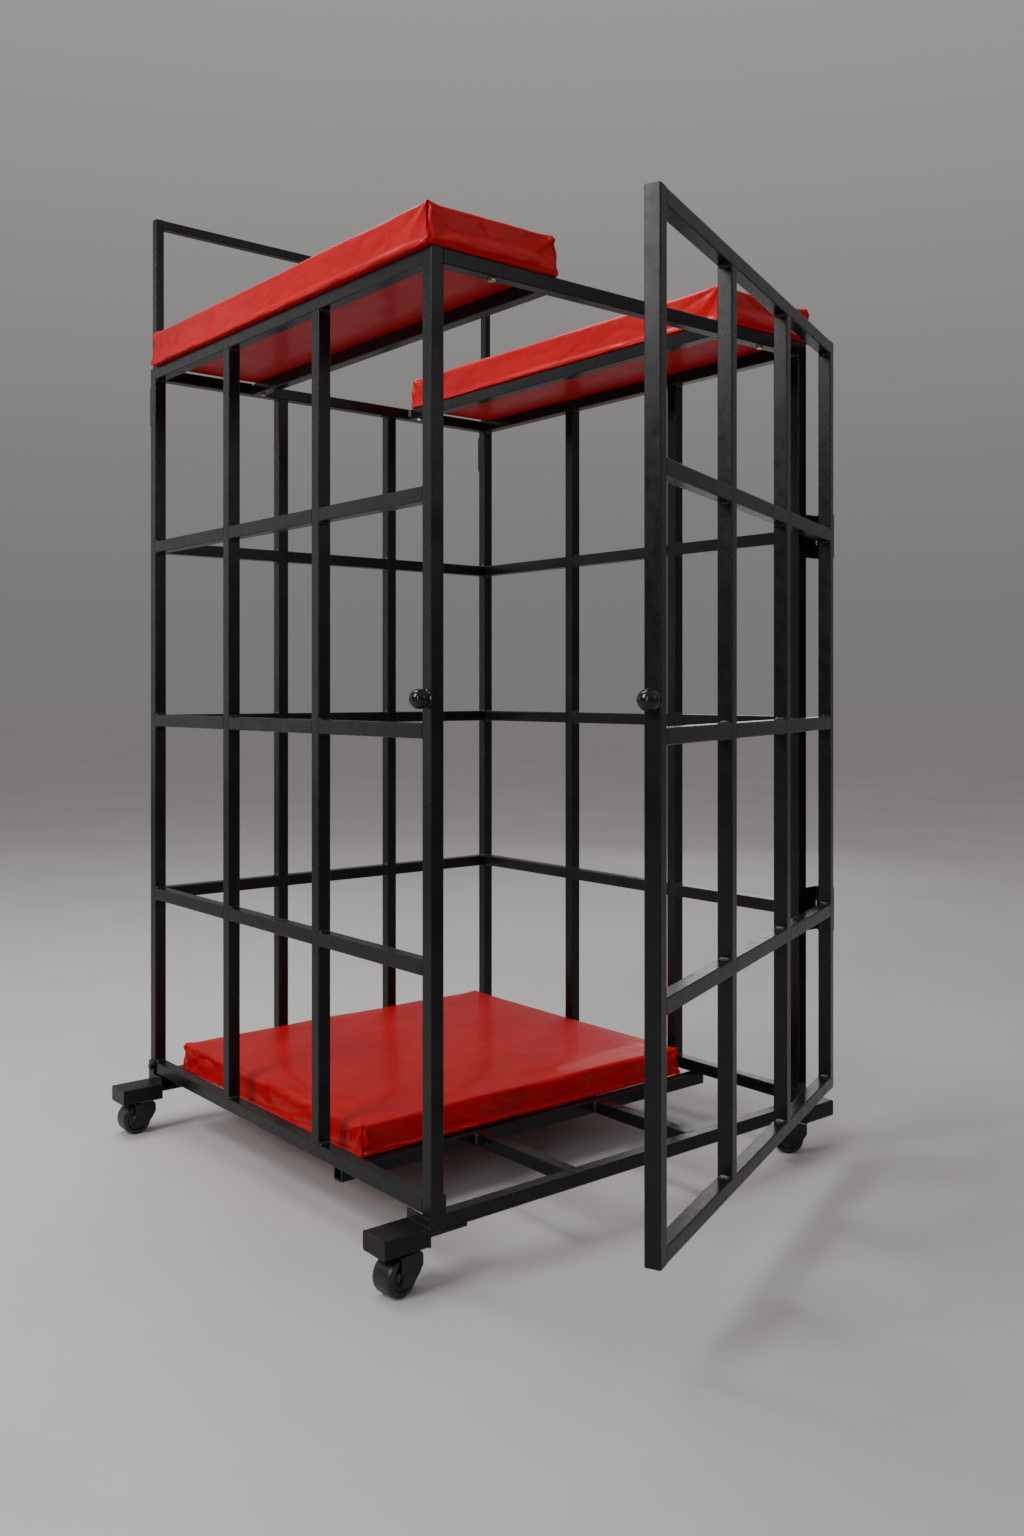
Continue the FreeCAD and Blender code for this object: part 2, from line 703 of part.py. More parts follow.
def soft_block(name, low, sizes, formulas, round_formula):
    """A box with every edge rounded."""
    body = doc.addObject("PartDesign::Body", name)
    outline = sketch_on(body, "XY_Plane", name + "_outline")
    add_rectangle(outline, sizes[0], sizes[1], formulas[0], formulas[1])
    run = pad(body, outline, name + "_thick", formulas[2])
    edges = [f"Edge{index}" for index in range(1, len(run.Shape.Edges) + 1)]
    fillet(body, run, edges, name + "_round", round_formula)
    centre = Vector(low[0] + sizes[0] / 2, low[1] + sizes[1] / 2, low[2])
    body.Placement = Placement(centre, Rotation())
    return body


def make_pad(name, kind, low, holes):
    """A pad: a sewn cover all round, a foam block, and a plywood board under the foam."""
    wall = size("cover")
    sizes = [size(f"{kind}_width"), size(f"{kind}_length"), size(f"{kind}_thick")]
    formulas = [f"{kind}_width", f"{kind}_length", f"{kind}_thick"]
    inner_sizes = [value - 2 * wall for value in sizes]
    inner_formulas = [f"{formula} - 2 * cover" for formula in formulas]
    inner_low = [value + wall for value in low]
    outer = soft_block(name + "_outer", low, sizes, formulas, "pad_round")

    def inner(part):
        return soft_block(f"{name}_{part}_room", inner_low, inner_sizes, inner_formulas,
                          "pad_round - cover")

    drills = [
        cylinder(f"{name}_drill_{number}", (x, y, low[2] - 1), (0, 0, 1), "bolt", "cover + 2")
        for number, (x, y) in enumerate(holes, start=1)
    ]
    keep(cut(name, outer, [inner("cover"), *drills]), name)
    board_box = block(name + "_board_box", inner_low, (inner_formulas[0], inner_formulas[1], "board"))
    board = doc.addObject("Part::Common", name + "_board")
    board.Base = inner("board")
    board.Tool = board_box
    if holes:
        tapped = [
            cylinder(f"{name}_tap_{number}", (x, y, inner_low[2] - 1), (0, 0, 1), "bolt", "board")
            for number, (x, y) in enumerate(holes, start=1)
        ]
        board = cut(name + "_board_drilled", board, tapped)
    foam = cut(name + "_foam", inner("foam"), [
        block(name + "_foam_box", inner_low, (inner_formulas[0], inner_formulas[1], "board"))
    ])
    return board, foam


def make_pads():
    """Two pads on the top frame and one on the floor frame."""
    half = size("top_pad_width") / 2
    boards = []
    foams = []
    bolts = pad_bolt_places()
    for index, (side_name, side) in enumerate((("left", LEFT), ("right", RIGHT))):
        low = (side * size("top_pad_x") - half, size("top_pad_front"), HEIGHT)
        holes = [(place[0], place[1]) for place in bolts if place[0] * side > 0]
        board, foam = make_pad(f"top_pad_{side_name}", "top_pad", low, holes)
        boards.append(board)
        foams.append(foam)
    low = (-size("floor_pad_width") / 2, size("floor_pad_front"), TUBE)
    board, foam = make_pad("floor_pad", "floor_pad", low, [])
    boards.append(board)
    foams.append(foam)
    group("pad_boards", boards)
    group("pad_foams", foams)


# ---------------------------------------------------------------- gate, built shut and swung open

BLOCK = size("hinge_block")
HINGE_X = SIDE_X + BLOCK + size("knuckle") / 2
HINGE_Y = -END_Y - size("gate_gap") / 2
GATE_Y = -END_Y - size("gate_gap") - HALF_TUBE
GATE_LEFT = SIDE_X + BLOCK - size("gate_width")
GATE_LOW = size("gate_bottom")
GATE_TOP = GATE_LOW + size("gate_height")
SWING = Placement(Vector(), Rotation(UP, size("gate_angle")), Vector(HINGE_X, HINGE_Y, 0))
HINGE_HEIGHTS = [rail_heights()[0], rail_heights()[2]]
HINGE_PARTS = 3


def gate_tube(name, axis, start, formula):
    """A tube of the gate, swung with it."""
    tube = tube_body(name, axis, start, formula)
    tube.Placement = SWING.multiply(tube.Placement)
    return tube


def swung(item):
    """Swings a finished piece of the gate open."""
    item.Placement = SWING.multiply(item.Placement)
    return item


def gate_stile(name, x):
    """An upright of the gate, closed at both ends."""
    tube = tube_body(name + "_tube", "Z", (x, GATE_Y, GATE_LOW), "gate_height")
    plates = [
        end_plate(f"{name}_end_{number}", x, GATE_Y, height)
        for number, height in enumerate((GATE_LOW, GATE_TOP - size("tube_wall")), start=1)
    ]
    return fuse(name, [tube, *plates])


def make_gate():
    """The gate: two stiles, five rails and two bars, all welded."""
    left = GATE_LEFT + HALF_TUBE
    right = GATE_LEFT + size("gate_width") - HALF_TUBE
    keep(swung(gate_stile("gate_hinge_stile", right)), "gate_hinge_stile")
    name = "gate_free_stile"
    hole = knob_hole(name + "_hole", GATE_LEFT - 1, GATE_Y)
    keep(swung(cut(name, gate_stile(name + "_closed", left), [hole])), name)
    inner = GATE_LEFT + TUBE
    ends = {"gate_bottom_rail": GATE_LOW + HALF_TUBE, "gate_top_rail": GATE_TOP - HALF_TUBE}
    for name, height in ends.items():
        keep(gate_tube(name, "X", (inner, GATE_Y, height), "gate_width - 2 * tube"), name)
    middle = GATE_LEFT + size("gate_width") / 2
    centres = [middle + offset for offset in thirds(size("gate_width") - TUBE)]
    bars = [
        gate_tube(f"gate_bar_{number}", "Z", (x, GATE_Y, GATE_LOW + TUBE), "gate_height - 2 * tube")
        for number, x in enumerate(centres, start=1)
    ]
    group("gate_bars", bars)
    starts = [inner, centres[0] + HALF_TUBE, centres[1] + HALF_TUBE]
    pieces = []
    for row, height in enumerate(rail_heights(), start=1):
        for bay, start in enumerate(starts, start=1):
            place = (start, GATE_Y, height)
            pieces.append(gate_tube(f"gate_rail_{row}_{bay}", "X", place,
                                    "( gate_width - tube ) / 3 - tube"))
    group("gate_rails", pieces)


def knuckle(name, low, height, bore_formula):
    """One knuckle of a hinge: a short sleeve round the pin."""
    outer = cylinder(name + "_sleeve", (HINGE_X, HINGE_Y, low), (0, 0, 1), "knuckle", str(height))
    bore = cylinder(name + "_bore", (HINGE_X, HINGE_Y, low - 1), (0, 0, 1),
                    bore_formula, str(height + 2))
    return outer, bore


def make_hinges():
    """Two hinges: a leaf and block on the post, a leaf on the gate, and a pin through both."""
    face_x = SIDE_X + BLOCK
    full = size("hinge_height")
    share = full / HINGE_PARTS
    gap = 0.4
    post_leaves = []
    gate_leaves = []
    pins = []
    for number, centre in enumerate(HINGE_HEIGHTS, start=1):
        low = centre - full / 2
        stand = block(f"hinge_block_{number}", (SIDE_X, -END_Y, low),
                      ("hinge_block", "tube", "hinge_height"))
        leaf = block(f"post_leaf_{number}", (face_x, HINGE_Y, low),
                     ("hinge_leaf", "tube + gate_gap / 2", "hinge_height"))
        sleeves = []
        bores = []
        for end, start in enumerate((low, low + 2 * share)):
            outer, bore = knuckle(f"post_knuckle_{number}_{end}", start, share, "pin_diameter")
            sleeves.append(outer)
            bores.append(bore)
        room = block(f"post_room_{number}", (face_x - 1, HINGE_Y - 6, low + share - gap),
                     ("hinge_leaf + knuckle", "12", f"hinge_height / {HINGE_PARTS} + {2 * gap}"))
        weld = fuse(f"post_leaf_weld_{number}", [stand, leaf, *sleeves])
        post_leaves.append(cut(f"post_leaf_cut_{number}", weld, [room, *bores]))
        gate_leaf = block(f"gate_leaf_{number}", (face_x, HINGE_Y - size("gate_gap") / 2 - TUBE, low),
                          ("hinge_leaf", "tube + gate_gap / 2", "hinge_height"))
        outer, bore = knuckle(f"gate_knuckle_{number}", low + share, share, "pin_diameter + running_fit")
        clear = [
            block(f"gate_clear_{number}_{end}", (face_x - 1, HINGE_Y - 6, start),
                  ("hinge_leaf + knuckle", "12", f"hinge_height / {HINGE_PARTS} + {gap}"))
            for end, start in enumerate((low - gap, low + 2 * share))
        ]
        gate_weld = fuse(f"gate_leaf_weld_{number}", [gate_leaf, outer])
        gate_leaves.append(swung(cut(f"gate_leaf_cut_{number}", gate_weld, [*clear, bore])))
        pins.append(cylinder(f"hinge_pin_{number}", (HINGE_X, HINGE_Y, low - 1), (0, 0, 1),
                             "pin_diameter", "hinge_height + 2"))
    group("hinge_post_leaves", post_leaves)
    group("hinge_gate_leaves", gate_leaves)
    group("hinge_pins", pins)


# ---------------------------------------------------------------- hoop

def make_hoop():
    """The hoop: two legs that slide in the rear posts and a crossbar between their tops."""
    leg = "hoop_top - frame_height + hoop_inside"
    low = HEIGHT - size("hoop_inside")
    for side_name, side in (("left", LEFT), ("right", RIGHT)):
        name = f"hoop_leg_{side_name}"
        x = side * POST_X
        tube = tube_body(name + "_tube", "Z", (x, POST_Y, low), leg, "hoop_tube", "hoop_wall")
        top = end_plate(name + "_top", x, POST_Y, size("hoop_top") - size("hoop_wall"),
                        "hoop_tube", "hoop_wall")
        keep(fuse(name, [tube, top]), name)
    half = size("hoop_tube") / 2
    start = (-POST_X + half, POST_Y, size("hoop_top") - half)
    crossbar = tube_body("hoop_crossbar", "X", start, "frame_width - tube - hoop_tube",
                         "hoop_tube", "hoop_wall")
    keep(crossbar, "hoop_crossbar")


# ---------------------------------------------------------------- build, check and write

make_posts()
make_outer_rails()
make_walls()
make_floor_frame()
make_pad_rails()
make_castors()
knob("post_knob", -SIDE_X, -POST_Y)
make_clamps()
make_pad_bolts()
make_pads()
make_gate()
swung(knob("gate_knob", GATE_LEFT, GATE_Y))
make_hinges()
make_hoop()
for node in nodes:
    node.Placement = Placement(Vector(0, 0, size("stance")), Rotation()).multiply(node.Placement)
doc.recompute()

for item in doc.Objects:
    states = set(item.State)
    if states & {"Invalid", "Error"}:
        raise RuntimeError(f"{item.Name} {item.Label}: {states}")
for node in nodes:
    shape = node.Shape
    if shape.isNull() or not shape.isValid():
        raise RuntimeError(f"{node.Label} has no valid shape")

os.makedirs("parts", exist_ok=True)
for node in nodes:
    node.Shape.exportStep(f"parts/{node.Label}.step")
print(len(nodes), "nodes")
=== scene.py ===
import json
import math

import bmesh
import bpy
from mathutils import Matrix, Vector, noise


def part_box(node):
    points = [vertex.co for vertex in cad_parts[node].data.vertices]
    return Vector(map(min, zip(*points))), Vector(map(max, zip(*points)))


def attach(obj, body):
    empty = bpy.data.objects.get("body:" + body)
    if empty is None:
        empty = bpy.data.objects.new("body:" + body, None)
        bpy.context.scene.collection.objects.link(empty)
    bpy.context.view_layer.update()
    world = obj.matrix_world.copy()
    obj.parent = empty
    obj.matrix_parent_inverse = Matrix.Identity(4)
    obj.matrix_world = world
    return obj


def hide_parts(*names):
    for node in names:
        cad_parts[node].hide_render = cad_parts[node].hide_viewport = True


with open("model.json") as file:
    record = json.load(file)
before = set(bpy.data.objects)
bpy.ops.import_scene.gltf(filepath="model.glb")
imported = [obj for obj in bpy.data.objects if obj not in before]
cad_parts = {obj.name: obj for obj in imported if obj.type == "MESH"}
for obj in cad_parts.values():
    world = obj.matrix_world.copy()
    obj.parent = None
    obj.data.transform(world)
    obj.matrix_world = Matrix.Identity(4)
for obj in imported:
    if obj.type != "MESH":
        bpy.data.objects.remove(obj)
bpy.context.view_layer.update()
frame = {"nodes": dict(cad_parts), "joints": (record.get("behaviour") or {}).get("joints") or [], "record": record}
nodes = frame["nodes"]
scene = bpy.context.scene


# ---------------------------------------------------------------- materials

# Sockets of a colour Mix node.
MIX_FACTOR, MIX_FIRST, MIX_SECOND, MIX_RESULT = 0, 6, 7, 2


class Tree:
    """Short hand for building one material's nodes."""

    BEVEL_SAMPLES = 4
    FLAT, SHARP = 0.995, 0.86    # cosine between a face's own normal and the rounded one

    def __init__(self, name):
        self.material = bpy.data.materials.new(name)
        self.material.use_nodes = True
        self.tree = self.material.node_tree
        self.tree.nodes.clear()
        self.shader = self.tree.nodes.new("ShaderNodeBsdfPrincipled")
        out = self.tree.nodes.new("ShaderNodeOutputMaterial")
        self.tree.links.new(self.shader.outputs[0], out.inputs[0])
        self.place = self.tree.nodes.new("ShaderNodeTexCoord").outputs["Object"]

    def put(self, socket, value):
        """Sets a socket to a value, or links an output to it."""
        if isinstance(value, bpy.types.NodeSocket):
            self.tree.links.new(value, socket)
        else:
            socket.default_value = value

    def node(self, kind, **inputs):
        """A node with some inputs set or linked, by name."""
        item = self.tree.nodes.new(kind)
        for key, value in inputs.items():
            self.put(item.inputs[key.replace("_", " ")], value)
        return item

    def scaled(self, x, y, z):
        """The object's coordinates, stretched."""
        return self.node("ShaderNodeMapping", Vector=self.place, Scale=(x, y, z)).outputs[0]

    def noise(self, scale, detail=3.0, rough=0.5, vector=None):
        item = self.node("ShaderNodeTexNoise", Vector=vector or self.place, Scale=scale,
                         Detail=detail, Roughness=rough)
        return item.outputs[0]

    def cells(self, scale, feature="F1", vector=None):
        item = self.node("ShaderNodeTexVoronoi", Vector=vector or self.place, Scale=scale)
        item.feature = feature
        return item.outputs["Distance"]

    def ramp(self, value, low, high, to_low=0.0, to_high=1.0):
        """Remaps a value from one range to another, clamped."""
        item = self.tree.nodes.new("ShaderNodeMapRange")
        for index, entry in enumerate((value, low, high, to_low, to_high)):
            self.put(item.inputs[index], entry)
        return item.outputs[0]

    def math(self, operation, first, second=0.0):
        item = self.tree.nodes.new("ShaderNodeMath")
        item.operation = operation
        self.put(item.inputs[0], first)
        self.put(item.inputs[1], second)
        return item.outputs[0]

    def blend(self, factor, first, second):
        """Mixes two colours."""
        item = self.tree.nodes.new("ShaderNodeMix")
        item.data_type = "RGBA"
        self.put(item.inputs[MIX_FACTOR], factor)
        self.put(item.inputs[MIX_FIRST], first)
        self.put(item.inputs[MIX_SECOND], second)
        return item.outputs[MIX_RESULT]

    def bump(self, height, strength, distance, normal=None):
        item = self.node("ShaderNodeBump", Strength=strength, Distance=distance, Height=height)
        if normal is not None:
            self.put(item.inputs["Normal"], normal)
        return item.outputs[0]

    def edges(self, radius):
        """1 on sharp edges, 0 on flat faces, and the rounded normal."""
        rounded = self.node("ShaderNodeBevel", Radius=radius)
        rounded.samples = self.BEVEL_SAMPLES
        true = self.tree.nodes.new("ShaderNodeNewGeometry").outputs["True Normal"]
        dot = self.tree.nodes.new("ShaderNodeVectorMath")
        dot.operation = "DOT_PRODUCT"
        self.put(dot.inputs[0], rounded.outputs[0])
        self.put(dot.inputs[1], true)
        return self.ramp(dot.outputs["Value"], self.FLAT, self.SHARP), rounded.outputs[0]

    def finish(self, **inputs):
        for key, value in inputs.items():
            self.put(self.shader.inputs[key.replace("_", " ")], value)
        return self.material


def rgb(red, green, blue):
    return (red, green, blue, 1.0)


COAT_BLACK = rgb(0.0035, 0.0035, 0.0038)


def powder_coat():
    """Black powder coat on welded steel: fine orange peel, dust, and edges painted lighter grey, partly as rubbed
    wear and partly as a painted edge highlight.
    """
    tree = Tree("black_powder_coat")
    edge, rounded = tree.edges(0.0014)
    patches = tree.ramp(tree.noise(9.0, 5.0, 0.6), 0.35, 0.7)
    # Mask of the edges that get painted lighter: partly rubbed wear, partly a painted edge highlight.
    rubbed_and_highlight = tree.math("MULTIPLY", edge, tree.ramp(tree.noise(34.0, 4.0, 0.65), 0.42, 0.68))
    dust = tree.ramp(tree.noise(160.0, 3.0, 0.7), 0.55, 0.8)
    base = tree.blend(patches, COAT_BLACK, rgb(0.0075, 0.0074, 0.0074))
    base = tree.blend(tree.math("MULTIPLY", dust, 0.2), base, rgb(0.022, 0.0215, 0.021))
    # The edges are painted lighter grey: partly rubbed wear, partly a painted highlight along the edges.
    base = tree.blend(tree.math("MULTIPLY", rubbed_and_highlight, 0.7), base, rgb(0.11, 0.108, 0.105))
    rough = tree.ramp(tree.noise(55.0, 4.0, 0.6), 0.3, 0.75, 0.20, 0.34)
    peel = tree.bump(tree.noise(420.0, 2.0, 0.5), 0.045, 0.0004, rounded)
    dents = tree.bump(tree.noise(22.0, 3.0, 0.5), 0.08, 0.0015, peel)
    return tree.finish(Base_Color=base, Roughness=rough, Normal=dents, Specular_IOR_Level=0.24)


def welded_coat():
    """The same coat over a weld: lumpier and a little glossier."""
    tree = Tree("black_coat_on_welds")
    patches = tree.ramp(tree.noise(70.0, 4.0, 0.6), 0.35, 0.7)
    base = tree.blend(patches, COAT_BLACK, rgb(0.009, 0.0088, 0.0085))
    rough = tree.ramp(tree.noise(120.0, 3.0, 0.6), 0.3, 0.75, 0.24, 0.38)
    lumps = tree.bump(tree.noise(300.0, 3.0, 0.6), 0.35, 0.0012)
    return tree.finish(Base_Color=base, Roughness=rough, Normal=lumps, Specular_IOR_Level=0.4)


def gloss_black(name, rough_low, rough_high, wear):
    """Moulded black plastic with fine scuffs and edges worn lighter."""
    tree = Tree(name)
    edge, rounded = tree.edges(0.0009)
    scuffs = tree.ramp(tree.noise(90.0, 6.0, 0.7, tree.scaled(1.0, 1.0, 4.0)), 0.5, 0.72)
    base = tree.blend(tree.ramp(tree.noise(24.0, 4.0), 0.35, 0.7), rgb(0.003, 0.003, 0.0033),
                      rgb(0.007, 0.0069, 0.0068))
    base = tree.blend(tree.math("MULTIPLY", scuffs, wear), base, rgb(0.05, 0.048, 0.046))
    base = tree.blend(tree.math("MULTIPLY", edge, wear), base, rgb(0.04, 0.039, 0.038))
    rough = tree.ramp(scuffs, 0.0, 1.0, rough_low, rough_high)
    ripple = tree.bump(tree.noise(260.0, 2.0), 0.08, 0.0004, rounded)
    return tree.finish(Base_Color=base, Roughness=rough, Normal=ripple, Specular_IOR_Level=0.36)


def tyre_black():
    """Hard black roller: satin, with a fine grain and a dusty tread."""
    tree = Tree("roller_black")
    edge, rounded = tree.edges(0.0008)
    dust = tree.ramp(tree.noise(60.0, 5.0, 0.7), 0.45, 0.75)
    base = tree.blend(dust, rgb(0.005, 0.005, 0.0053), rgb(0.018, 0.0174, 0.0168))
    base = tree.blend(tree.math("MULTIPLY", edge, 0.35), base, rgb(0.045, 0.044, 0.042))
    rough = tree.ramp(tree.noise(40.0, 4.0), 0.3, 0.7, 0.28, 0.46)
    grain = tree.bump(tree.noise(500.0, 3.0, 0.6), 0.14, 0.0005, rounded)
    return tree.finish(Base_Color=base, Roughness=rough, Normal=grain)


def zinc_plate():
    """Zinc-plated steel: cool spangle, handling marks, darker in patches."""
    tree = Tree("zinc_plate")
    _, rounded = tree.edges(0.0005)
    spangle = tree.cells(240.0)
    base = tree.blend(tree.ramp(spangle, 0.1, 0.7), rgb(0.52, 0.53, 0.55), rgb(0.36, 0.365, 0.37))
    stain = tree.ramp(tree.noise(80.0, 5.0, 0.65), 0.5, 0.78)
    base = tree.blend(tree.math("MULTIPLY", stain, 0.6), base, rgb(0.16, 0.15, 0.14))
    rough = tree.ramp(tree.noise(130.0, 4.0), 0.3, 0.7, 0.26, 0.48)
    fine = tree.bump(tree.noise(900.0, 2.0), 0.12, 0.0003, rounded)
    return tree.finish(Base_Color=base, Roughness=rough, Metallic=1.0, Normal=fine)


def red_vinyl():
    """Red upholstery vinyl: pressed grain, fine creases, a soft gloss, a colour that varies."""
    tree = Tree("red_vinyl")
    wide = tree.ramp(tree.noise(5.0, 4.0, 0.55), 0.3, 0.7)
    mottle = tree.ramp(tree.noise(60.0, 4.0, 0.6), 0.35, 0.7)
    base = tree.blend(wide, rgb(0.38, 0.0007, 0.0032), rgb(0.48, 0.0010, 0.0044))
    base = tree.blend(tree.math("MULTIPLY", mottle, 0.35), base, rgb(0.29, 0.0010, 0.0030))
    scuffs = tree.ramp(tree.noise(30.0, 8.0, 0.72, tree.scaled(1.0, 2.2, 1.0)), 0.56, 0.74)
    rough = tree.math("ADD", tree.ramp(tree.noise(16.0, 4.0), 0.3, 0.7, 0.36, 0.50),
                      tree.math("MULTIPLY", scuffs, 0.12))
    pebble = tree.math("ADD", tree.cells(620.0, "SMOOTH_F1"),
                       tree.math("MULTIPLY", tree.noise(1500.0, 2.0), 0.5))
    grain = tree.bump(pebble, 0.20, 0.0005)
    crease = tree.ramp(tree.noise(26.0, 5.0, 0.62, tree.scaled(1.0, 0.45, 2.4)), 0.40, 0.62)
    creased = tree.bump(crease, 0.14, 0.0014, grain)
    return tree.finish(Base_Color=base, Roughness=rough, Normal=creased, Coat_Weight=0.16,
                       Coat_Roughness=0.11, Specular_IOR_Level=0.12)


def foam():
    tree = Tree("open_foam")
    cells = tree.cells(420.0)
    base = tree.blend(cells, rgb(0.62, 0.56, 0.4), rgb(0.78, 0.73, 0.58))
    return tree.finish(Base_Color=base, Roughness=tree.ramp(cells, 0.0, 1.0, 0.85, 0.95),
                       Normal=tree.bump(cells, 0.5, 0.001))


def plywood():
    tree = Tree("plywood")
    grain = tree.noise(30.0, 6.0, 0.6, tree.scaled(1.0, 12.0, 1.0))
    base = tree.blend(grain, rgb(0.42, 0.27, 0.14), rgb(0.62, 0.45, 0.27))
    return tree.finish(Base_Color=base, Roughness=tree.ramp(grain, 0.0, 1.0, 0.5, 0.7),
                       Normal=tree.bump(grain, 0.3, 0.0006))


COAT = powder_coat()
WELD = welded_coat()
HOOD = gloss_black("hood_black", 0.16, 0.34, 0.35)
BALL = gloss_black("knob_black", 0.04, 0.12, 0.08)
ROLLER = tyre_black()
ZINC = zinc_plate()
VINYL = red_vinyl()
BY_SLOT = {
    "black_steel": COAT, "black_plastic": HOOD, "knob_plastic": BALL, "wheel_rubber": ROLLER,
    "zinc_steel": ZINC, "red_vinyl": VINYL, "foam": foam(), "plywood": plywood(),
}
for part in frame["record"]["subparts"]:
    piece = nodes[part["node"]]
    piece.data.materials.clear()
    piece.data.materials.append(BY_SLOT[part["material_slot"]])
# The bolts of the hoop's clamps and the hinge pins were painted over with the frame.
for name in ("clamp_bolts", "hinge_pins"):
    nodes[name].data.materials[0] = COAT
# The axle heads are blacked like the hoods.
for corner in ("front_left", "back_left", "back_right", "front_right"):
    nodes[f"castor_axle_{corner}"].data.materials[0] = HOOD


# ---------------------------------------------------------------- mesh helpers

def add_piece(name, verts, faces, material, body):
    """A new mesh piece of the object, shaded smooth."""
    mesh = bpy.data.meshes.new(name)
    mesh.from_pydata(verts, [], faces)
    mesh.materials.append(material)
    for face in mesh.polygons:
        face.use_smooth = True
    piece = bpy.data.objects.new(name, mesh)
    scene.collection.objects.link(piece)
    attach(piece, body)
    return piece


# ---------------------------------------------------------------- welds

TUBE = 0.020                    # side of the frame's square tube
BEAD_LENGTH = TUBE - 0.003
BEAD_LEG = 0.0042               # how far a bead reaches along each face
BEAD_STEPS = 7
BEAD_PROFILE = ((0.0, 0.0), (1.0, 0.0), (0.52, 0.13), (0.27, 0.27), (0.13, 0.52), (0.0, 1.0))
BEAD_SWELL = 0.28               # how much a bead's thickness varies, as a share
BEAD_RIPPLES = 260.0            # and how finely, per metre
BEAD_END = 0.55                 # thickness of its two ends, as a share
BEAD_ROOT = 0.0004              # how deep its root sits in the corner


class Beads:
    """Collects the fillet welds of one body into one mesh."""

    def __init__(self):
        self.verts = []
        self.faces = []

    def add(self, corner, first, second, along):
        """A concave fillet in the corner between two faces: first and second lead away from the
        corner along each face, and the bead is centred on it and runs along the third direction."""
        corner, first, second, along = (Vector(v) for v in (corner, first, second, along))
        start = len(self.verts)
        for step in range(BEAD_STEPS):
            share = step / (BEAD_STEPS - 1)
            centre = corner + along * (share - 0.5) * BEAD_LENGTH
            swell = 1.0 + BEAD_SWELL * noise.noise(centre * BEAD_RIPPLES)
            taper = BEAD_END if step in (0, BEAD_STEPS - 1) else 1.0
            for across, up in BEAD_PROFILE:
                point = centre + (first * across + second * up) * BEAD_LEG * swell * taper
                if across == 0.0 and up == 0.0:
                    point = centre - (first + second) * BEAD_ROOT
                self.verts.append(point)
        count = len(BEAD_PROFILE)
        for step in range(BEAD_STEPS - 1):
            a = start + step * count
            b = a + count
            for index in range(count):
                after = (index + 1) % count
                self.faces.append((a + index, a + after, b + after, b + index))
        last = start + (BEAD_STEPS - 1) * count
        self.faces.append(tuple(start + index for index in reversed(range(count))))
        self.faces.append(tuple(last + index for index in range(count)))

    def build(self, name, body):
        piece = add_piece(name, self.verts, self.faces, WELD, body)
        fixed = bmesh.new()
        fixed.from_mesh(piece.data)
        bmesh.ops.recalc_face_normals(fixed, faces=fixed.faces)
        fixed.to_mesh(piece.data)
        fixed.free()


SAME_POINT = 1e-6               # points closer than this are one point
SMALL_SOLID = 0.03              # diagonal of the largest solid that isn't welded by its ends
SHORT_SOLID = 0.021             # length of the longest gate solid that isn't a bar


def point_groups(name):
    """The points of each separate solid in a grouped node."""
    mesh = bmesh.new()
    mesh.from_mesh(nodes[name].data)
    bmesh.ops.remove_doubles(mesh, verts=mesh.verts, dist=SAME_POINT)
    seen = set()
    groups = []
    for vert in mesh.verts:
        if vert.index in seen:
            continue
        stack, found = [vert], []
        seen.add(vert.index)
        while stack:
            here = stack.pop()
            found.append(here.co.copy())
            for edge in here.link_edges:
                other = edge.other_vert(here)
                if other.index not in seen:
                    seen.add(other.index)
                    stack.append(other)
        groups.append(found)
    mesh.free()
    return groups


def box_of(points):
    """Box (low, high) round some points."""
    return (Vector(min(p[i] for p in points) for i in range(3)),
            Vector(max(p[i] for p in points) for i in range(3)))


def solids(name):
    """Boxes of the separate solids in a grouped node."""
    boxes = [box_of(points) for points in point_groups(name)]
    return [(low, high) for low, high in boxes if (high - low).length > SMALL_SOLID]


X, Y, Z = 0, 1, 2
AXES = (Vector((1, 0, 0)), Vector((0, 1, 0)), Vector((0, 0, 1)))
ABOVE, BELOW, BOTH = (1,), (-1,), (-1, 1)    # sides of a tube's end that get a fillet


def weld_ends(beads, low, high, run, up, turn=None, sides=BOTH):
    """Fillets above and below, or on both sides, of a tube's two ends."""
    third = X + Y + Z - run - up
    for end in (0, 1):
        along_run = AXES[run] * (1 if end == 0 else -1)
        for side in sides:
            corner = (low + high) / 2
            corner[run] = low[run] if end == 0 else high[run]
            corner[up] = high[up] if side > 0 else low[up]
            first, second, along = along_run, AXES[up] * side, AXES[third]
            if turn is not None:
                corner = turn @ corner
                first, second, along = (turn.to_3x3() @ v for v in (first, second, along))
            beads.add(corner, first, second, along)


frame_beads = Beads()
for wall, run in (("left", Y), ("back", X), ("right", Y)):
    for low, high in solids(wall + "_wall_rails"):
        weld_ends(frame_beads, low, high, run, Z)
    for low, high in solids(wall + "_wall_bars"):
        weld_ends(frame_beads, low, high, Z, run)
    low, high = (Vector(corner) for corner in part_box(wall + "_bottom_rail"))
    weld_ends(frame_beads, low, high, run, Z, sides=ABOVE)
    low, high = (Vector(corner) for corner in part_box(wall + "_top_rail"))
    weld_ends(frame_beads, low, high, run, Z, sides=BELOW)
low, high = (Vector(corner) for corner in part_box("front_top_rail"))
weld_ends(frame_beads, low, high, X, Z, sides=BELOW)
for name in ("floor_cross_members", "pad_support_rails"):
    for low, high in solids(name):
        weld_ends(frame_beads, low, high, Y, X)
frame_beads.build("frame_welds", "frame")

hinge = next(joint for joint in frame["joints"] if joint["name"] == "gate_hinge")
pivot = Vector(hinge["pos_m"])
OPEN = math.radians(-hinge["range_deg"][0])
SHUT = Matrix.Translation(pivot) @ Matrix.Rotation(-OPEN, 4, "Z") @ Matrix.Translation(-pivot)
SWUNG = SHUT.inverted()


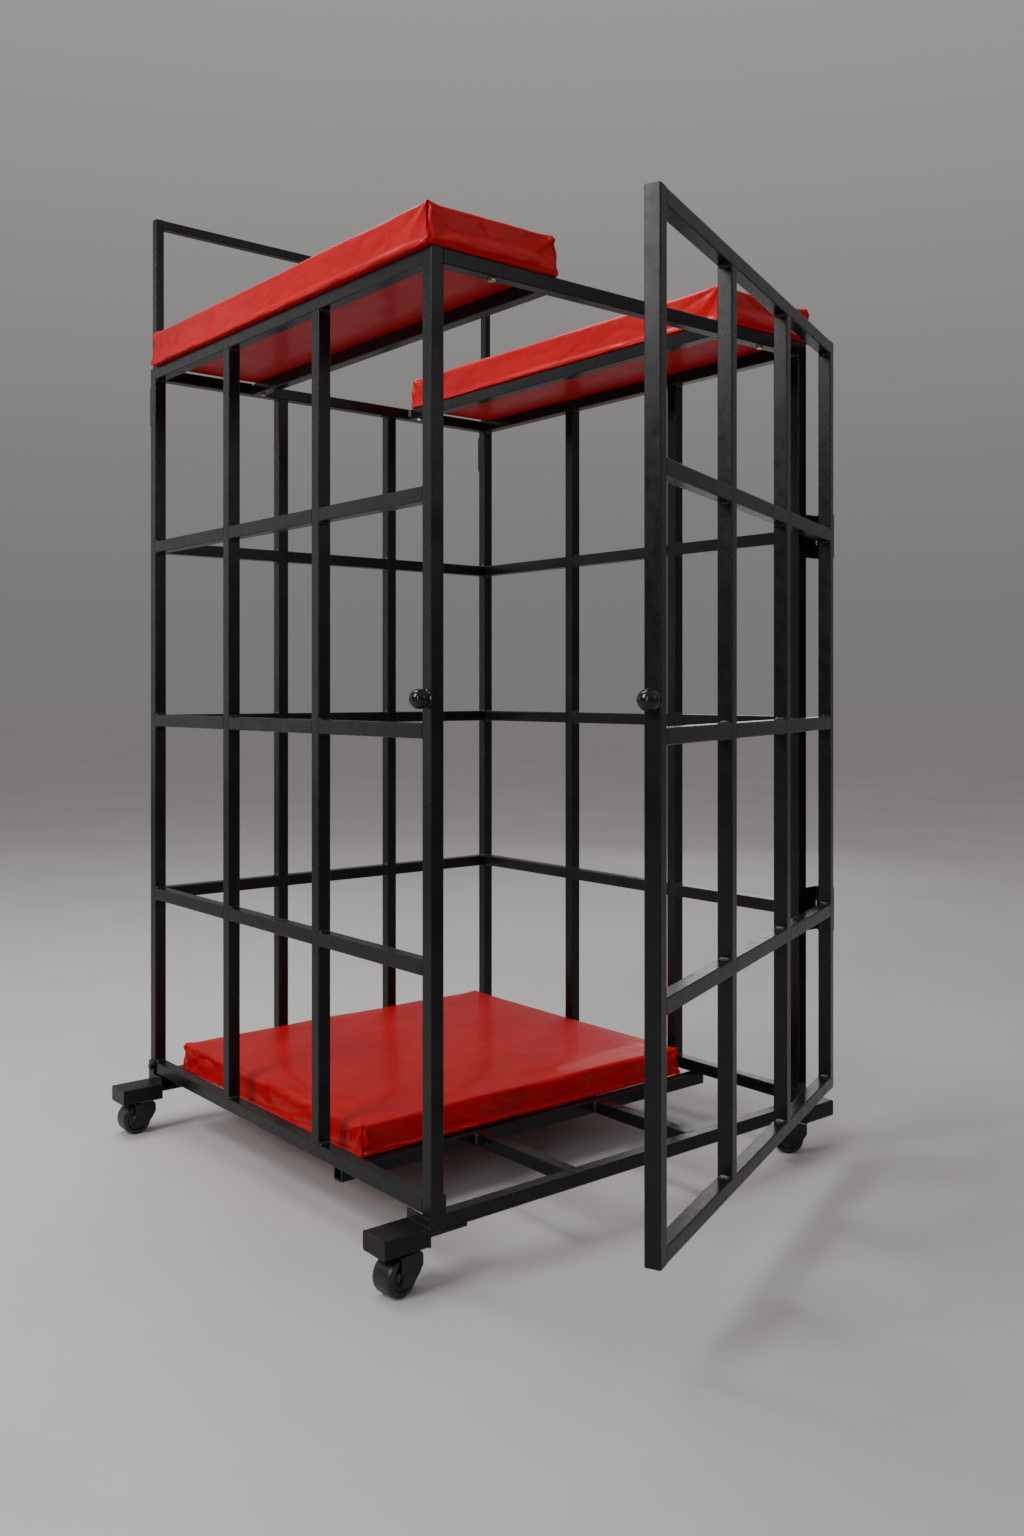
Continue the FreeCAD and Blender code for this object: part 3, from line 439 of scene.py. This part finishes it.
def shut_box(points):
    """Box of some points with the gate turned shut."""
    return box_of([SHUT @ point for point in points])


def shut_solids(name):
    """Boxes of a gate node's solids, with the gate turned shut."""
    boxes = [shut_box(points) for points in point_groups(name)]
    return [(low, high) for low, high in boxes
            if (high - low).length > SMALL_SOLID and max(high - low) > SHORT_SOLID]


gate_beads = Beads()
for low, high in shut_solids("gate_rails"):
    weld_ends(gate_beads, low, high, X, Z, SWUNG)
for low, high in shut_solids("gate_bars"):
    weld_ends(gate_beads, low, high, Z, X, SWUNG)
for name, sides in (("gate_top_rail", BELOW), ("gate_bottom_rail", ABOVE)):
    low, high = shut_box([v.co for v in nodes[name].data.vertices])
    weld_ends(gate_beads, low, high, X, Z, SWUNG, sides=sides)
gate_beads.build("gate_welds", "gate")


# ---------------------------------------------------------------- pads

# A cover's mesh, in metres: it is finer within the margin of each edge.
GRID_FINE, GRID_COARSE, GRID_MARGIN = 0.0025, 0.0095, 0.030
GRID_ROWS, GRID_ROWS_QUICK = 12, 10
COVER_SHRINK = Vector((0.005, 0.005, 0.003))    # how much smaller it is before it is inflated
COVER_ROUNDING = 0.0065                         # radius of its edges
COVER_LIFT = 0.0004                             # how far it starts above what it rests on
COVER_CLEARANCE = 0.0003                        # and the least it keeps
PINNED_BELOW, PINS_END = 0.002, 0.012           # heights where the pins start and stop fading
CLOTH_FRAMES = 18
MOST_STRETCH = 0.0035                           # the farthest inflating moves a point


def spaced(length, fine, coarse, margin):
    """Stations from 0 to length, close together near both ends."""
    stations = [0.0]
    edge = max(1, round(margin / fine))
    for step in range(1, edge + 1):
        stations.append(margin * step / edge)
    middle = length - 2 * margin
    count = max(1, round(middle / coarse))
    for step in range(1, count + 1):
        stations.append(margin + middle * step / count)
    for step in range(1, edge + 1):
        stations.append(length - margin + margin * step / edge)
    return stations


def box_grid(size, fine, coarse, margin, rows):
    """A closed box of quads centred in X and Y with its base at z = 0: points and faces."""
    xs = spaced(size[0], fine, coarse, margin)
    ys = spaced(size[1], fine, coarse, margin)
    zs = [size[2] * step / rows for step in range(rows + 1)]
    index = {}
    verts, faces = [], []

    def at(i, j, k):
        key = (i, j, k)
        if key not in index:
            index[key] = len(verts)
            verts.append(Vector((xs[i] - size[0] / 2, ys[j] - size[1] / 2, zs[k])))
        return index[key]

    nx, ny, nz = len(xs) - 1, len(ys) - 1, len(zs) - 1
    for i in range(nx):
        for j in range(ny):
            faces.append((at(i, j, 0), at(i, j + 1, 0), at(i + 1, j + 1, 0), at(i + 1, j, 0)))
            faces.append((at(i, j, nz), at(i + 1, j, nz), at(i + 1, j + 1, nz), at(i, j + 1, nz)))
    for i in range(nx):
        for k in range(nz):
            faces.append((at(i, 0, k), at(i + 1, 0, k), at(i + 1, 0, k + 1), at(i, 0, k + 1)))
            faces.append((at(i, ny, k), at(i, ny, k + 1), at(i + 1, ny, k + 1), at(i + 1, ny, k)))
    for j in range(ny):
        for k in range(nz):
            faces.append((at(0, j, k), at(0, j, k + 1), at(0, j + 1, k + 1), at(0, j + 1, k)))
            faces.append((at(nx, j, k), at(nx, j + 1, k), at(nx, j + 1, k + 1), at(nx, j, k + 1)))
    return verts, faces


def rounded(point, size, radius):
    """Pulls a point of the box onto a box with rounded edges."""
    half = Vector((size[0] / 2, size[1] / 2, size[2] / 2))
    centred = point - Vector((0, 0, half.z))
    inner = Vector(max(-half[i] + radius, min(half[i] - radius, centred[i])) for i in range(3))
    away = centred - inner
    if away.length > 1e-9:
        centred = inner + away.normalized() * radius
    return centred + Vector((0, 0, half.z))


def inflate(piece, pins, pressure):
    """Blows a cover up with Blender's cloth, and keeps its shape."""
    before = [v.co.copy() for v in piece.data.vertices]
    group = piece.vertex_groups.new(name="pins")
    for index, weight in pins.items():
        group.add([index], weight, "REPLACE")
    cloth = piece.modifiers.new("cover", "CLOTH")
    settings = cloth.settings
    settings.quality = 6
    settings.mass = 0.35
    settings.tension_stiffness = 28
    settings.compression_stiffness = 22
    settings.shear_stiffness = 12
    settings.bending_stiffness = 0.35
    settings.use_pressure = True
    settings.uniform_pressure_force = pressure
    settings.vertex_group_mass = "pins"
    settings.effector_weights.gravity = 0.0
    cloth.collision_settings.use_collision = False
    cloth.point_cache.frame_start = 1
    cloth.point_cache.frame_end = CLOTH_FRAMES
    for step in range(1, CLOTH_FRAMES + 1):
        scene.frame_set(step)
    shaped = piece.evaluated_get(bpy.context.evaluated_depsgraph_get())
    after = [v.co.copy() for v in shaped.data.vertices]
    piece.modifiers.remove(cloth)
    scene.frame_set(1)
    for vert, old, new in zip(piece.data.vertices, before, after):
        move = new - old
        if move.length > MOST_STRETCH:
            move = move.normalized() * MOST_STRETCH
        vert.co = old + move


def crease(distance, width):
    """A narrow valley: 1 on the line, 0 at the given distance."""
    if distance >= width:
        return 0.0
    return 0.5 + 0.5 * math.cos(math.pi * distance / width)


# Short folds near the ends of a pad's long sides: distance from the corner, lean and height.
FOLDS = ((0.028, 0.016, 0.45), (0.050, 0.022, 0.55), (0.088, 0.012, 0.40))

# How far each kind of wrinkle stands in or out of a cover, in metres.
FAN_DEPTH = 0.0021              # creases that fan from a top corner, down the sides
FAN_TOP_DEPTH = 0.0007          # and over the top
FOLD_DEPTH = 0.0016             # the ridge of a short fold
FOLD_VALLEY = 0.0011            # and the valley beside it
PLEAT_DEPTH = 0.0024            # the valley of a corner's pleat
PLEAT_MOUTH = 0.0030            # and what its open mouth adds
PLEAT_LIP = 0.0014              # the lip on the pleat's inner side
PLEAT_MOUTH_LIP = 0.0010        # and what the mouth adds to it
PLEAT_RIDGE = 0.0010            # the ridge between the pleat and the corner
RIPPLE_DEPTH = 0.0020           # gathers over the lower edge
PUCKER_DEPTH = 0.0026           # puckers under the upper edge
TUCK_DEPTH = 0.0022             # narrow tucks in the sides
SLACK_DEPTH = 0.0021            # wide slack in the sides and the top
FINE_DEPTH = 0.00030            # small unevenness everywhere

# Where they are, in metres from a corner.
FAN_REACH = 0.15
FOLD_REACH = 0.13
PLEAT_PLACE, PLEAT_WANDER = 0.0095, 0.0016

# The crown of a pad's top and the points of its top corners, in metres.
DOME_HEIGHT = 0.0030
EAR_LIFT, EAR_REACH = 0.0035, 0.030


class Pad:
    """A foam pad in a tight sewn cover, folded at its corners and pulled under its board."""

    def __init__(self, name, seed, bulge, dip, waves, spread, tucks):
        low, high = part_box(name)
        self.name = name
        self.low, self.high = Vector(low), Vector(high)
        self.size = self.high - self.low
        self.seed = seed
        self.bulge = bulge
        self.dip = dip
        self.waves = waves
        self.spread = spread
        self.tucks = tucks

    def rest_shape(self):
        """The cover before it is inflated, a little smaller than the room it has."""
        size = self.size - COVER_SHRINK
        rows = GRID_ROWS
        verts, faces = box_grid(size, GRID_FINE, GRID_COARSE, GRID_MARGIN, rows)
        shaped = [rounded(point, size, COVER_ROUNDING) for point in verts]
        centre = (self.low + self.high) / 2
        place = Vector((centre.x, centre.y, self.low.z + COVER_LIFT))
        return [point + place for point in shaped], faces

    def wrinkle(self, point, normal):
        """How far a point stands in or out of the smooth cover: creases that fan from the corners,
        short folds, the pleat on each corner, gathers, puckers, tucks and slack in the faces."""
        centre = (self.low + self.high) / 2
        local = point - centre
        half = self.size / 2
        height = (point.z - self.low.z) / self.size.z
        shift = Vector((self.seed * 7.3, self.seed * 3.1, self.seed * 1.7))
        depth = 0.0
        side = 1.0 - min(1.0, abs(normal.z) * 1.25)
        for sx in (-1, 1):
            for sy in (-1, 1):
                corner = Vector((centre.x + sx * half.x, centre.y + sy * half.y, self.high.z))
                gap = point - corner
                reach = gap.length
                if reach > FAN_REACH:
                    continue
                fade = (1.0 - reach / FAN_REACH) ** 1.4
                flat = math.atan2(abs(gap.z) + 0.0005, math.hypot(gap.x, gap.y) + 0.0005)
                turn = math.atan2(gap.y * sy, gap.x * sx)
                phase = self.seed * 2.1 + sx * 1.3 + sy * 0.7
                wave = math.sin(flat * 9.0 + phase + 2.2 * noise.noise(point * 16.0 + shift))
                fan = math.copysign(abs(wave) ** 1.6, wave)
                depth += FAN_DEPTH * fade * fan * side * min(1.0, reach / 0.02)
                top = 1.0 - side
                over = math.sin(turn * 7.0 + phase)
                depth += FAN_TOP_DEPTH * fade * over * top * min(1.0, reach / 0.03)
        edge_x = half.x - abs(local.x)
        edge_y = half.y - abs(local.y)
        if abs(normal.x) > 0.45 and edge_y < FOLD_REACH:
            for start, lean, low in FOLDS:
                line = edge_y - start - lean * (1 - height)
                fade = crease(abs(height - low), 0.42)
                depth += FOLD_DEPTH * crease(abs(line), 0.0040) * fade
                depth -= FOLD_VALLEY * crease(abs(line - 0.0050), 0.0045) * fade
        if abs(normal.y) > 0.45:
            wander = noise.noise(Vector((point.z * 40.0, self.seed, local.x * 3)))
            pleat = PLEAT_PLACE + PLEAT_WANDER * wander
            fold = crease(abs(edge_x - pleat), 0.0042)
            mouth = crease(abs(height - 0.82), 0.16)
            lip = crease(abs(edge_x - pleat - 0.0060), 0.0050)
            depth -= (PLEAT_DEPTH + PLEAT_MOUTH * mouth) * fold * side
            depth += (PLEAT_LIP + PLEAT_MOUTH_LIP * mouth) * lip * side
            depth += PLEAT_RIDGE * crease(abs(edge_x - pleat + 0.0050), 0.0042) * side
        along = local.y if abs(normal.x) > abs(normal.y) else local.x
        low_part = max(0.0, (0.6 - height) / 0.6)
        ripple = noise.noise(Vector((along * 30.0, self.seed * 5.0, height * 1.5)) + shift)
        depth += RIPPLE_DEPTH * ripple * side * low_part
        high_part = max(0.0, (height - 0.7) / 0.3)
        pucker = noise.noise(Vector((along * 17.0, self.seed * 3.0, 0.4)) + shift)
        depth += PUCKER_DEPTH * pucker * side * high_part
        leaning = Vector((along * 13.0 + 0.9 * height, self.seed * 4.0, height * 1.1))
        line = noise.noise(leaning + shift)
        depth -= TUCK_DEPTH * max(0.0, 1.0 - 4.0 * abs(line)) ** 1.5 * side * self.tucks
        slack = noise.noise(Vector((local.x * 7.0, local.y * 7.0, height * 1.2)) + shift)
        depth += SLACK_DEPTH * slack * (side * 0.9 + 0.8 * max(0.0, normal.z))
        fine = noise.noise(Vector((local.x * 34.0, local.y * 22.0, height * 5.0)) + shift * 2)
        depth += FINE_DEPTH * fine
        return depth

    def build(self):
        verts, faces = self.rest_shape()
        piece = add_piece(self.name + "_cover", verts, faces, VINYL, "frame")
        base = self.low.z
        pins = {}
        for vert in piece.data.vertices:
            height = vert.co.z - base
            if height < PINNED_BELOW:
                pins[vert.index] = 1.0
            elif height < PINS_END:
                pins[vert.index] = (1.0 - height / PINS_END) ** 2
        inflate(piece, pins, self.bulge)
        self.crown(piece)
        smooth = piece.modifiers.new("finer", "SUBSURF")
        smooth.levels = 1
        smooth.render_levels = 1
        finer = piece.evaluated_get(bpy.context.evaluated_depsgraph_get())
        mesh = bpy.data.meshes.new_from_object(finer)
        piece.modifiers.remove(smooth)
        old = piece.data
        piece.data = mesh
        bpy.data.meshes.remove(old)
        normals = [Vector(v.normal) for v in mesh.vertices]
        for vert, normal in zip(mesh.vertices, normals):
            vert.co += normal * self.wrinkle(vert.co, normal)
            self.keep_above(vert)
        mesh.update()
        for face in mesh.polygons:
            face.use_smooth = True
        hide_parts(self.name, "pad_foams", "pad_boards")

    def crown(self, piece):
        """Crowns the top, lifts the pointed top corners and lets the sides' lower edge spread."""
        centre = (self.low + self.high) / 2
        half = self.size / 2
        for vert in piece.data.vertices:
            local = vert.co - centre
            u, v = local.x / half.x, local.y / half.y
            height = (vert.co.z - self.low.z) / self.size.z
            dome = max(0.0, 1 - abs(u) ** 3.2) * max(0.0, 1 - abs(v) ** 6)
            vert.co.z += height * (DOME_HEIGHT * dome - self.dip * (1 - dome))
            inward = math.hypot(half.x - abs(local.x), half.y - abs(local.y))
            ear = max(0.0, 1 - inward / EAR_REACH)
            vert.co.z += EAR_LIFT * ear * height * height
            for index, value in ((0, u), (1, v)):
                if abs(value) > 0.9:
                    vert.co[index] += math.copysign(self.spread * (1 - height) ** 2, value)
            lift = noise.noise(Vector((local.x * 4.2, local.y * 4.2, self.seed * 9.0)))
            vert.co.z += self.waves * max(0.0, lift) * (0.3 + 0.7 * height)

    def keep_above(self, vert):
        """Holds the cover above what it rests on."""
        vert.co.z = max(vert.co.z, self.low.z + COVER_CLEARANCE)


TOP = {"bulge": 4.0, "dip": 0.0006, "waves": 0.0010, "spread": 0.0022, "tucks": 0.45}
FLOOR = {"bulge": 4.0, "dip": 0.0012, "waves": 0.0026, "spread": 0.0010, "tucks": 1.0}
PADS = [
    Pad("top_pad_left", seed=1.0, **TOP),
    Pad("top_pad_right", seed=2.0, **TOP),
    Pad("floor_pad", seed=3.0, **FLOOR),
]
for pad in PADS:
    pad.build()


# ---------------------------------------------------------------- stage, light and camera

HORIZON = rgb(0.195, 0.187, 0.186)
ZENITH = rgb(0.48, 0.465, 0.46)
# Name, place, target, size in metres and power in watts of each softbox.
LIGHTS = (
    ("key", (-3.1, -0.2, 2.9), (0.0, 0.0, 0.8), (1.3, 2.0), 105),
    ("fill", (1.4, -3.8, 2.2), (0.0, 0.0, 0.7), (2.0, 2.0), 10),
    ("top", (-0.4, 1.2, 3.6), (0.0, 0.0, 0.6), (1.6, 1.6), 80),
    ("sheen", (-2.6, 3.4, 1.5), (0.0, 0.0, 0.7), (2.2, 2.4), 11),
    ("strip", (-3.4, -2.6, 1.7), (0.0, 0.0, 0.8), (0.30, 2.4), 26),
    ("rim", (3.2, 2.2, 1.8), (0.0, 0.0, 0.8), (0.8, 2.4), 9),
)


def stage_floor():
    """A plain pale floor, wide enough for any view."""
    tree = Tree("plain_floor")
    cloud = tree.noise(1.3, 4.0, 0.6)
    base = tree.blend(tree.ramp(cloud, 0.3, 0.7), rgb(0.40, 0.385, 0.383), rgb(0.45, 0.435, 0.43))
    material = tree.finish(Base_Color=base, Roughness=tree.ramp(cloud, 0.3, 0.7, 0.75, 0.85))
    mesh = bpy.data.meshes.new("floor")
    reach, sides = 40.0, 64
    ring = []
    for k in range(sides):
        angle = 2 * math.pi * k / sides
        ring.append((reach * math.cos(angle), reach * math.sin(angle), 0.0))
    mesh.from_pydata(ring, [], [tuple(range(sides))])
    mesh.materials.append(material)
    floor = bpy.data.objects.new("floor", mesh)
    scene.collection.objects.link(floor)


def area_light(name, place, target, size, power):
    """A white softbox at a place, facing a target."""
    data = bpy.data.lights.new(name, "AREA")
    data.shape = "RECTANGLE"
    data.size, data.size_y = size
    data.energy = power
    light = bpy.data.objects.new(name, data)
    light.location = place
    light.visible_camera = False
    light.rotation_mode = "QUATERNION"
    light.rotation_quaternion = (Vector(target) - Vector(place)).to_track_quat("-Z", "Y")
    scene.collection.objects.link(light)


def studio():
    """Plain soft studio light: softboxes, and a surround that is paler overhead."""
    world = bpy.data.worlds.new("surround")
    world.use_nodes = True
    tree = world.node_tree
    background = tree.nodes["Background"]
    place = tree.nodes.new("ShaderNodeTexCoord")
    apart = tree.nodes.new("ShaderNodeSeparateXYZ")
    rise = tree.nodes.new("ShaderNodeMapRange")
    rise.interpolation_type = "SMOOTHSTEP"
    rise.inputs["From Min"].default_value = -0.02
    rise.inputs["From Max"].default_value = 0.85
    shade = tree.nodes.new("ShaderNodeMix")
    shade.data_type = "RGBA"
    shade.inputs[MIX_FIRST].default_value = HORIZON
    shade.inputs[MIX_SECOND].default_value = ZENITH
    tree.links.new(place.outputs["Generated"], apart.inputs[0])
    tree.links.new(apart.outputs["Z"], rise.inputs["Value"])
    tree.links.new(rise.outputs[0], shade.inputs[MIX_FACTOR])
    tree.links.new(shade.outputs[MIX_RESULT], background.inputs["Color"])
    scene.world = world
    for light in LIGHTS:
        area_light(*light)


def camera():
    """The camera stands in front and to the left of the cage, level, about half its height up."""
    data = bpy.data.cameras.new("camera")
    data.sensor_width = 36.0
    data.lens = 30.92
    data.shift_y = -0.0497
    view = bpy.data.objects.new("camera", data)
    view.location = (-1.3523, -1.7732, 0.7572)
    view.rotation_euler = (math.radians(90), 0.0, math.radians(-39.34))
    scene.collection.objects.link(view)
    scene.camera = view


stage_floor()
studio()
camera()
